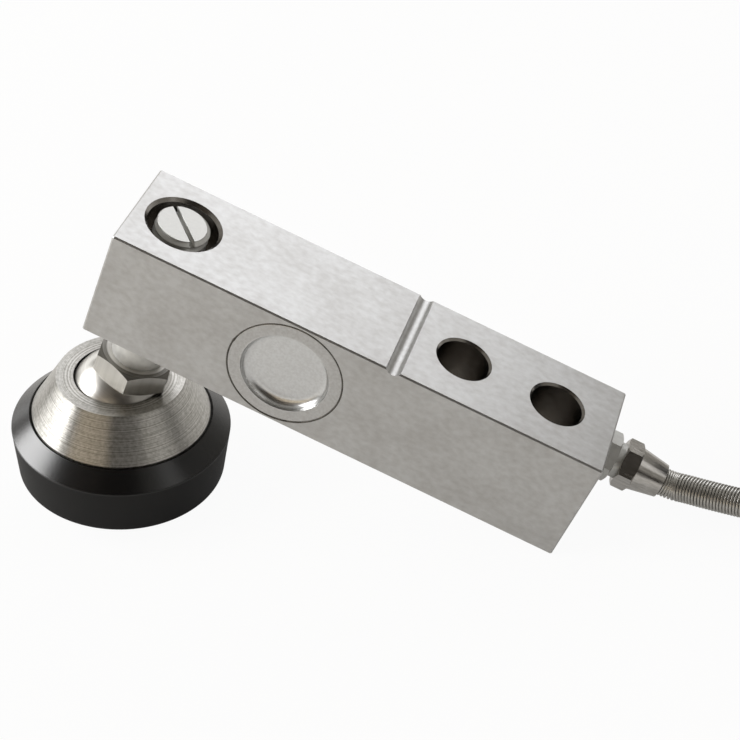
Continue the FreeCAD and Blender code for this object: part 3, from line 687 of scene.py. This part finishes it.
steel, tree, shader, place = new_material("satin_nickel_on_ground_steel", Metallic=1.0)
on_beam = beam_place(tree, place)
to_load = {"operation": "SUBTRACT", 1: (LOAD_FROM_BOLTS, 0.0, 0.0)}
at_load = add_node(tree, "ShaderNodeVectorMath", to_load, {0: on_beam})
unsigned = add_node(tree, "ShaderNodeVectorMath", {"operation": "ABSOLUTE"}, {0: on_beam})
to_bolt = {"operation": "SUBTRACT", 1: (BOLT_SPACING / 2, 0.0, 0.0)}
at_bolt = add_node(tree, "ShaderNodeVectorMath", to_bolt, {0: unsigned})
limits = {"From Min": COUNTERBORE_EDGE - CUT_EDGE, "From Max": COUNTERBORE_EDGE}
past_load = add_node(tree, "ShaderNodeMapRange", limits, {"Value": from_axis(tree, at_load, ABOUT_UP)})
limits = {"From Min": BOLT_HOLE_EDGE - CUT_EDGE, "From Max": BOLT_HOLE_EDGE}
past_bolt = add_node(tree, "ShaderNodeMapRange", limits, {"Value": from_axis(tree, at_bolt, ABOUT_UP)})
outside_shaded_holes = add_node(tree, "ShaderNodeMath", {"operation": "MINIMUM"}, {0: past_load, 1: past_bolt})

stretched = beam_place(tree, place, STROKE_STRETCH)
width = {"Scale": per_metre(STROKE_WIDTH), "Detail": 7.0}
strokes = add_node(tree, "ShaderNodeTexNoise", width, {"Vector": stretched})
width = {"Scale": per_metre(CLOUD_WIDTH), "Detail": 3.0}
clouds = add_node(tree, "ShaderNodeTexNoise", width, {"Vector": place})
mottle = add_node(tree, "ShaderNodeMix", {"Factor": CLOUD_SHARE}, {"A": strokes, "B": clouds})
# The first colour, in the holes, is darker with painted shade; the second is the ground steel.
two_finishes(tree, shader, outside_shaded_holes, mottle, ("#928D87", "#C9C9C8"), (0.22, 0.42))
width = {"Scale": per_metre(PIT_WIDTH), "Detail": 3.0}
pits = add_node(tree, "ShaderNodeTexNoise", width, {"Vector": place})
bump = add_node(tree, "ShaderNodeBump", {"Distance": PIT_DEPTH}, {"Height": pits})
feed(shader, {"Normal": bump})
dress(steel, "beam")

# %% [markdown]
# The covers are thin stainless sheet pressed into a shallow dish. Pressing burnishes the dish, so to the
# eye it is brighter and smoother than the beam, while the flat ring round it was ground with the beam and
# looks like it. The distance from the cover's middle tells the two apart.

# %% Pressed cover sheet
DISH_EDGE = 11.4 * MM
DISH_FADE = 0.4 * MM
SHEET_GRAIN = 0.6
SHEET_RELIEF = 0.002 * MM

cover, tree, shader, place = new_material("pressed_stainless_sheet", Metallic=1.0)
to_cover = {"operation": "SUBTRACT", 1: cover_centre}
centred = add_node(tree, "ShaderNodeVectorMath", to_cover, {0: place})
limits = {"From Min": DISH_EDGE - DISH_FADE, "From Max": DISH_EDGE + DISH_FADE}
ring = add_node(tree, "ShaderNodeMapRange", limits, {"Value": from_axis(tree, centred, ABOUT_ACROSS)})
width = {"Scale": per_metre(SHEET_GRAIN), "Detail": 3.0}
grain = add_node(tree, "ShaderNodeTexNoise", width, {"Vector": place})
two_finishes(tree, shader, ring, grain, ("#DADBDB", "#BDBCBA"), (0.28, 0.42))
bump = add_node(tree, "ShaderNodeBump", {"Distance": SHEET_RELIEF}, {"Height": grain})
feed(shader, {"Normal": bump})
dress(cover, "front_cover", "rear_cover")

# %% [markdown]
# The weld round each cover is steel that was melted and cooled in air. The heat tints it, and its colour is
# also painted darker with the shade of the groove it fills, so to the eye it stays darker and duller than the
# ground steel on both sides. Its beads are in the mesh, so it needs no relief, only a tint that changes a
# little from place to place.

# %% Heat-tinted weld
TINT_WIDTH = 1.5

weld, tree, shader, place = new_material("weld_heat_tint_and_painted_shade", Metallic=1.0)
width = {"Scale": per_metre(TINT_WIDTH), "Detail": 3.0}
tint = add_node(tree, "ShaderNodeTexNoise", width, {"Vector": place})
# Both colours are dark partly from heat tint and partly from painted shade of the seam's groove.
one_finish(tree, shader, tint, ("#54524E", "#706D68"), (0.42, 0.54))
dress(weld, "front_weld", "rear_weld")

# %% [markdown]
# The foot's cone is steel turned on a lathe, and the tool leaves fine rings about the foot's axis. A
# mapping node brings the foot upright at the origin. There, radius less height grows steadily over the
# top ring and down the cone, so noise along that one number draws every ring. The rings are drawn a
# little coarser than the tool's feed so that they show, and a fine speckle breaks them where the chips
# tore the surface. They also spread light down the cone and not round it, so the shader's tangent points
# away from the ball.

# %% Turned steel
RING_SPACING = 0.42
RING_TONES = (0.37, 0.63)
RING_DEPTH = 0.002 * MM
SPECKLE_WIDTH = 0.8
SPECKLE_SHARE = 0.4
foot_lean = math.atan2(up_foot[0], up_foot[2])


def down_foot(tree, place):
    """Radius less height about the foot's axis, from the ball's centre."""
    moved = -(Matrix.Rotation(-foot_lean, 3, "Y") @ Vector(ball))
    settings = {"Location": moved, "Rotation": (0.0, -foot_lean, 0.0)}
    on_foot = add_node(tree, "ShaderNodeMapping", settings, {"Vector": place})
    height = add_node(tree, "ShaderNodeSeparateXYZ", links={"Vector": on_foot}).outputs["Z"]
    radius = from_axis(tree, on_foot, ABOUT_UP)
    return add_node(tree, "ShaderNodeMath", {"operation": "SUBTRACT"}, {0: radius, 1: height})


turned, tree, shader, place = new_material("turned_steel", Metallic=1.0, Anisotropic=0.85)
width = {"noise_dimensions": "1D", "Scale": per_metre(RING_SPACING), "Detail": 3.0}
feed_marks = add_node(tree, "ShaderNodeTexNoise", width, {"W": down_foot(tree, place)})
width = {"Scale": per_metre(SPECKLE_WIDTH), "Detail": 4.0}
torn = add_node(tree, "ShaderNodeTexNoise", width, {"Vector": place})
rings = add_node(tree, "ShaderNodeMix", {"Factor": SPECKLE_SHARE}, {"A": feed_marks, "B": torn})
one_finish(tree, shader, rings, ("#98968F", "#D2D0CC"), (0.28, 0.36), RING_TONES)
bump = add_node(tree, "ShaderNodeBump", {"Distance": RING_DEPTH}, {"Height": rings})
from_ball = {"operation": "SUBTRACT", 1: ball}
outwards = add_node(tree, "ShaderNodeVectorMath", from_ball, {0: place})
to_world = {"vector_type": "VECTOR", "convert_from": "OBJECT", "convert_to": "WORLD"}
away = add_node(tree, "ShaderNodeVectorTransform", to_world, {"Vector": outwards})
feed(shader, {"Normal": bump, "Tangent": away})
dress(turned, "foot_body", "base_plate")

# %% [markdown]
# The ball head is turned from drawn hexagon bar and nickel plated, so to the eye it is bright, with soft
# reflections. Noise along the distance from the screw's axis draws all its marks: lines along the hexagon's
# faces, rings round the ball. The chamfer and the outer band of the hexagon's end are cut with a coarse tool
# and are a little rougher; their darker colour is painted shade from the beam above them. They are faces of
# one CAD mesh, so the place picks them again: a point is on them if it is far enough from the axis and its
# height, plus what the chamfer falls from the flats to it, is the height of the end.

# %% Bright nickel plate
HEX_HALF_FLATS = 9.5 * MM
HEX_HALF_CORNERS = HEX_HALF_FLATS / math.cos(math.radians(30.0))
HEX_END = 17.9 * MM
END_LIMITS = {"From Min": HEX_END - 0.10 * MM, "From Max": HEX_END - 0.05 * MM}
HEX_SEAT = 8.3 * MM
SEAT_FADE = 0.15 * MM
CHAMFER_SLOPE = math.tan(math.radians(30.0))
HEAD_MARKS = 0.35
MARK_DEPTH = 0.002 * MM

bright, tree, shader, place = new_material("bright_nickel_plate", Metallic=1.0)
ball_on_beam = [float(np.dot(ball - bolts, way)) for way in (along, ACROSS, up_beam)]
to_ball = {"operation": "SUBTRACT", 1: ball_on_beam}
on_screw = add_node(tree, "ShaderNodeVectorMath", to_ball, {0: beam_place(tree, place)})
radius = from_axis(tree, on_screw, ABOUT_UP)
height = add_node(tree, "ShaderNodeSeparateXYZ", links={"Vector": on_screw}).outputs["Z"]
deepest = (HEX_HALF_CORNERS - HEX_HALF_FLATS) * CHAMFER_SLOPE
limits = {"From Min": HEX_HALF_FLATS, "From Max": HEX_HALF_CORNERS, "To Max": deepest}
fall = add_node(tree, "ShaderNodeMapRange", limits, {"Value": radius})
raised = add_node(tree, "ShaderNodeMath", {"operation": "ADD"}, {0: height, 1: fall})
at_end = add_node(tree, "ShaderNodeMapRange", END_LIMITS, {"Value": raised})
limits = {"From Min": HEX_SEAT - SEAT_FADE, "From Max": HEX_SEAT + SEAT_FADE}
past_seat = add_node(tree, "ShaderNodeMapRange", limits, {"Value": radius})
shaded_faced_band = add_node(tree, "ShaderNodeMath", {"operation": "MULTIPLY"}, {0: at_end, 1: past_seat})

width = {"noise_dimensions": "1D", "Scale": per_metre(HEAD_MARKS), "Detail": 3.0}
marks = add_node(tree, "ShaderNodeTexNoise", width, {"W": radius})
weaker = {"From Min": 0.2, "From Max": 0.8, "To Min": 0.43, "To Max": 0.57}
faint = add_node(tree, "ShaderNodeMapRange", weaker, {"Value": marks})
# The second colour, on the chamfer and the end's outer band, is painted shade.
two_finishes(tree, shader, shaded_faced_band, faint, ("#DEDCD7", "#6B6862"), (0.30, 0.36))
bump = add_node(tree, "ShaderNodeBump", {"Distance": MARK_DEPTH}, {"Height": marks})
feed(shader, {"Normal": bump})
dress(bright, "ball_head")

# %% [markdown]
# The screw and the gland's body have the dull nickel of bought fittings. Its plate grows with fine pits,
# which scatter part of the light and leave the rest to be mirrored, so to the eye it is paler and softer
# than the ball head. The pits are far too small to draw, so the metallic share is lower and only slow
# blotches show.

# %% Dull nickel plate
BLOTCH_WIDTH = 1.5
BLOTCH_DEPTH = 0.004 * MM

dull, tree, shader, place = new_material("dull_nickel_plate", Metallic=0.65)
width = {"Scale": per_metre(BLOTCH_WIDTH), "Detail": 4.0}
blotch = add_node(tree, "ShaderNodeTexNoise", width, {"Vector": place})
one_finish(tree, shader, blotch, ("#D9D9D6", "#E2E2DF"), (0.45, 0.52))
bump = add_node(tree, "ShaderNodeBump", {"Distance": BLOTCH_DEPTH}, {"Height": blotch})
feed(shader, {"Normal": bump})
dress(dull, "screw", "gland_body")

# %% [markdown]
# The gland's nut is turned from drawn hexagon brass and nickel plated. Drawing the bar leaves fine marks
# along it, which show as faint streaks in its reflections, drawn a little coarser here than they are. An
# image of streaks would need unwrapping, so the noise is stretched along the beam, which is the gland's
# own direction.

# %% Nickel on brass
DRAWN_WIDTH = 0.5
DRAWN_STRETCH = 10.0
DRAWN_DEPTH = 0.012 * MM

gland, tree, shader, place = new_material("nickel_plated_brass", Metallic=1.0)
stretched = beam_place(tree, place, DRAWN_STRETCH)
width = {"Scale": per_metre(DRAWN_WIDTH), "Detail": 3.0}
marks = add_node(tree, "ShaderNodeTexNoise", width, {"Vector": stretched})
one_finish(tree, shader, marks, ("#BDBAB5", "#D5D2CE"), (0.18, 0.28))
bump = add_node(tree, "ShaderNodeBump", {"Distance": DRAWN_DEPTH}, {"Height": marks})
feed(shader, {"Normal": bump})
dress(gland, "gland_nut")

# %% [markdown]
# The spring is drawn stainless wire: drawing through a die leaves it smooth, with faint streaks. Its
# turns are real geometry, so the wire itself stays plain. The bare tips and the shield are tinned copper,
# dipped and a little dull, with a skin that ran and set unevenly.

# %% Drawn wire and tinned copper
STREAK_WIDTH = 1.5
DIP_WIDTH = 0.8
DIP_DEPTH = 0.01 * MM

wire, tree, shader, place = new_material("drawn_stainless_wire", Metallic=1.0)
width = {"Scale": per_metre(STREAK_WIDTH), "Detail": 2.0}
streak = add_node(tree, "ShaderNodeTexNoise", width, {"Vector": place})
one_finish(tree, shader, streak, ("#C6C4BF", "#D3D1CC"), (0.30, 0.40))
dress(wire, "spring")

tinned, tree, shader, place = new_material("tinned_copper", Metallic=1.0)
width = {"Scale": per_metre(DIP_WIDTH), "Detail": 3.0}
dip = add_node(tree, "ShaderNodeTexNoise", width, {"Vector": place})
one_finish(tree, shader, dip, ("#A9A8A2", "#C2C1BB"), (0.30, 0.45))
bump = add_node(tree, "ShaderNodeBump", {"Distance": DIP_DEPTH}, {"Height": dip})
feed(shader, {"Normal": bump})
dress(tinned, *[piece.name for piece in end_pieces if not piece.name.endswith("_insulation")])

# %% [markdown]
# The pad is moulded nitrile rubber filled with carbon black. The mould is polished where it forms the
# bevel and spark-eroded where it forms the side, so the bevel takes a soft sheen and the side stays matt:
# the pits of its fine grain also keep some of the light. Radius less height tells the bevel from the
# side, as it does on the cone. The grain is drawn coarser than a real one.

# %% Moulded rubber
RIM_DOWN_FOOT = 37.75 * MM
RIM_FADE = 0.5 * MM
SHADE_WIDTH = 12.0
MOULD_GRAIN = 0.6
MOULD_DEPTH = 0.01 * MM

rubber, tree, shader, place = new_material("moulded_nitrile_rubber", IOR=1.46)
limits = {"From Min": RIM_DOWN_FOOT - RIM_FADE, "From Max": RIM_DOWN_FOOT + RIM_FADE}
side = add_node(tree, "ShaderNodeMapRange", limits, {"Value": down_foot(tree, place)})
width = {"Scale": per_metre(SHADE_WIDTH), "Detail": 4.0}
shade = add_node(tree, "ShaderNodeTexNoise", width, {"Vector": place})
two_finishes(tree, shader, side, shade, ("#0A0A0B", "#0B0B0C"), (0.26, 0.62))
mirrored = add_node(tree, "ShaderNodeMapRange", {"To Min": 0.8, "To Max": 0.36}, {"Value": side})
width = {"Scale": per_metre(MOULD_GRAIN), "Detail": 2.0}
grain = add_node(tree, "ShaderNodeTexNoise", width, {"Vector": place})
bump = add_node(tree, "ShaderNodeBump", {"Distance": MOULD_DEPTH}, {"Height": grain})
feed(shader, {"Specular IOR Level": mirrored, "Normal": bump})
dress(rubber, "rubber_base", "gland_o_ring", "gland_seal")

# %% [markdown]
# Plastics share one recipe: an extruded or moulded surface whose fine grain breaks up the highlight, in
# the colour of each piece. The jacket and the cores are PVC, the ties nylon, the bearing shells acetal,
# the gauge's film polyimide and the board glass fibre in epoxy. Nine materials could be written out one
# by one, but only their colours, gloss and grain differ, so one function makes them all.

# %% Plastics
PLASTIC_SHADE = 9.0
PLASTIC_DEPTH = 0.01 * MM
GLOSS_SPREAD = 0.1


def plastic(name, first, last, roughness, grain_mm):
    """A plastic whose colour varies slowly between two tones. A grain of this size gives relief, and
    roughness that grows from this value by the gloss spread."""
    material, tree, shader, place = new_material(name, IOR=1.5)
    width = {"Scale": per_metre(grain_mm), "Detail": 2.0}
    grain = add_node(tree, "ShaderNodeTexNoise", width, {"Vector": place})
    width = {"Scale": per_metre(PLASTIC_SHADE), "Detail": 3.0}
    shade = add_node(tree, "ShaderNodeTexNoise", width, {"Vector": place})
    stops = list(zip(TONE_LIMITS, (first, last)))
    colour = add_node(tree, "ShaderNodeValToRGB", {"stops": stops}, {"Fac": shade})
    ends = {"To Min": roughness, "To Max": roughness + GLOSS_SPREAD}
    gloss = add_node(tree, "ShaderNodeMapRange", {**GLOSS_LIMITS, **ends}, {"Value": grain})
    bump = add_node(tree, "ShaderNodeBump", {"Distance": PLASTIC_DEPTH}, {"Height": grain})
    feed(shader, {"Base Color": colour, "Roughness": gloss, "Normal": bump})
    return material


dress(plastic("extruded_pvc_black", "#1B1C1E", "#232427", 0.42, 0.6), "cable", "cable_end")
dress(plastic("moulded_nylon", "#161618", "#1D1D20", 0.36, 0.8), "cable_tie_a", "cable_tie_b")
dress(plastic("turned_acetal", "#1A1A1B", "#222223", 0.40, 0.7), "retaining_ring", "ball_seat")
dress(plastic("polyimide_film", "#B07A2C", "#C08A3A", 0.30, 0.5), "front_gauge", "rear_gauge")
dress(plastic("glass_fibre_board", "#1F5B34", "#276B3F", 0.38, 0.4), "terminal_board")
dress(plastic("pvc_red", "#A3161A", "#B41C20", 0.35, 0.5), "core_red_insulation")
dress(plastic("pvc_green", "#14632F", "#1A7338", 0.35, 0.5), "core_green_insulation")
dress(plastic("pvc_white", "#DAD9D3", "#E6E5E0", 0.35, 0.5), "core_white_insulation", "inner_cores")
dress(plastic("pvc_black", "#151516", "#1D1D1E", 0.35, 0.5), "core_black_insulation")

# %% [markdown]
# The studio starts with a pale floor. More light would make it white, but would bleach the cell too. So
# for the camera, and for what glass lets through, nearly all of the floor is plain white: the background
# is white and a soft shadow stays. Reflections get only a little of that white, because a bright metal
# shows the floor's own light and shade.

# %% Floor
FLOOR_HALF = 4.0
FLOOR_DROP = 0.1 * MM
FLOOR_SHADE = 300.0
SEEN_WHITE = 0.95
MIRRORED_WHITE = 0.28


def stage_plane(name, centre, side, lift):
    """A rectangle in the scene: each corner is the centre plus or minus two half-side vectors."""
    sides = CORNER_SIGNS[:, :1] * np.array(side) + CORNER_SIGNS[:, 1:] * np.array(lift)
    mesh = bpy.data.meshes.new(name)
    mesh.from_pydata((np.array(centre) + sides).tolist(), [], [(0, 1, 2, 3)])
    plane = put_in_scene(name, mesh)
    return plane


stage_plane("floor", (0, 0, -FLOOR_DROP), (FLOOR_HALF, 0, 0), (0, FLOOR_HALF, 0))
pale, tree, shader, place = new_material("pale_floor", Roughness=0.9)
width = {"Scale": per_metre(FLOOR_SHADE), "Detail": 3.0}
shade = add_node(tree, "ShaderNodeTexNoise", width, {"Vector": place})
stops = list(zip(TONE_LIMITS, ("#D6D3CE", "#DAD7D2")))
colour = add_node(tree, "ShaderNodeValToRGB", {"stops": stops}, {"Fac": shade})
feed(shader, {"Base Color": colour})
ray = add_node(tree, "ShaderNodeLightPath").outputs
rays_seen = {0: ray["Is Camera Ray"], 1: ray["Is Transmission Ray"]}
seen = add_node(tree, "ShaderNodeMath", {"operation": "MAXIMUM"}, rays_seen)
seen = add_node(tree, "ShaderNodeMath", {"operation": "MULTIPLY", 1: SEEN_WHITE}, {0: seen})
added = {"operation": "MULTIPLY_ADD", 1: MIRRORED_WHITE}
share = add_node(tree, "ShaderNodeMath", added, {0: ray["Is Glossy Ray"], 2: seen})
white = add_node(tree, "ShaderNodeEmission", {"Color": (1, 1, 1, 1), "Strength": 1.0})
mixed = add_node(tree, "ShaderNodeMixShader", links={0: share, 1: shader, 2: white})
feed(tree.nodes["Material Output"], {"Surface": mixed})
dress(pale, "floor")

# %% [markdown]
# Metal looks like what it reflects. A picture of a room could be put round the cell, but three plain
# cards are easier to place. A pale brown wall and a dark ceiling stand in front of the cell, and a darker
# card round the camera, where a photographer would stand. They give the cone its soft bands, and edges
# that face the lens their dark lines.

# %% Cards
CARD_SHADE = 40.0


def card(name, centre, side, lift, first, last):
    """A matt card that only reflections and light see, about a centre from two half-side vectors."""
    stage_plane(name, centre, side, lift).visible_camera = False
    material, tree, shader, place = new_material(name, Roughness=0.9)
    width = {"Scale": per_metre(CARD_SHADE), "Detail": 3.0}
    shade = add_node(tree, "ShaderNodeTexNoise", width, {"Vector": place})
    stops = list(zip(TONE_LIMITS, (first, last)))
    colour = add_node(tree, "ShaderNodeValToRGB", {"stops": stops}, {"Fac": shade})
    feed(shader, {"Base Color": colour})
    dress(material, name)


card("brown_wall", (-0.05, -0.9, 0.25), (0.80, 0, 0), (0, 0, 0.25), "#D0C2AC", "#D8CAB4")
card("dark_ceiling", (-0.05, -0.75, 1.05), (0.80, 0, 0), (0, 0.15, 0.55), "#5C544B", "#645C53")
card("camera_card", (0.33, -0.64, 0.60), (0.26, 0.155, 0), (0, 0, 0.60), "#2B2723", "#332E29")

# %% [markdown]
# A key light stands at the load end and puts the sheen on the rubber's bevel and the cone. A wide, weak
# light behind the cell is what the top face reflects, so that face fades from the load end to the tail.
# Two more weak ones show in the edges at the left and in the gland at the right. Blender asks for watts,
# but what a reflection shows is how bright the face of a light is, so that is what is chosen here.

# %% Lights


def softbox(name, place, width, height, radiance, colour="#FFFFFF"):
    """A soft light that faces the cell: its watts are the radiance times pi times the area of its face."""
    data = bpy.data.lights.new(name, "AREA")
    data.shape = "RECTANGLE"
    data.size = width
    data.size_y = height
    data.energy = radiance * math.pi * width * height
    data.color = linear(colour)[:3]
    light = put_in_scene(name, data)
    light.location = place
    light.rotation_euler = (CAMERA_AIM - Vector(place)).to_track_quat("-Z", "Y").to_euler()
    print(name, "gives", round(data.energy, 2), "W")


softbox("key_light", (-0.95, -0.18, 0.65), 0.86, 0.4, 11.0)
softbox("back_light", (0.119, 0.940, 0.80), 0.83, 0.83, 1.88, "#FAFBFF")
softbox("left_light", (-0.90, 0.75, 0.28), 0.7, 0.4, 1.2)
softbox("right_light", (0.95, -0.08, 0.65), 0.5, 0.5, 0.6)

# %% [markdown]
# The world stands for the rest of a bright room. It fills the shadows from all sides, a little warm, as
# light from pale walls is. The standard view shows each colour about as it is written.

# %% World
WORLD_COLOUR = "#D8D4CC"
WORLD_STRENGTH = 0.45

world = bpy.data.worlds.new("studio")
bpy.context.scene.world = world
world.use_nodes = True
background = world.node_tree.nodes["Background"]
background.inputs["Color"].default_value = linear(WORLD_COLOUR)
background.inputs["Strength"].default_value = WORLD_STRENGTH
bpy.context.scene.view_settings.view_transform = "Standard"
print("world gives", WORLD_STRENGTH, "times", WORLD_COLOUR)
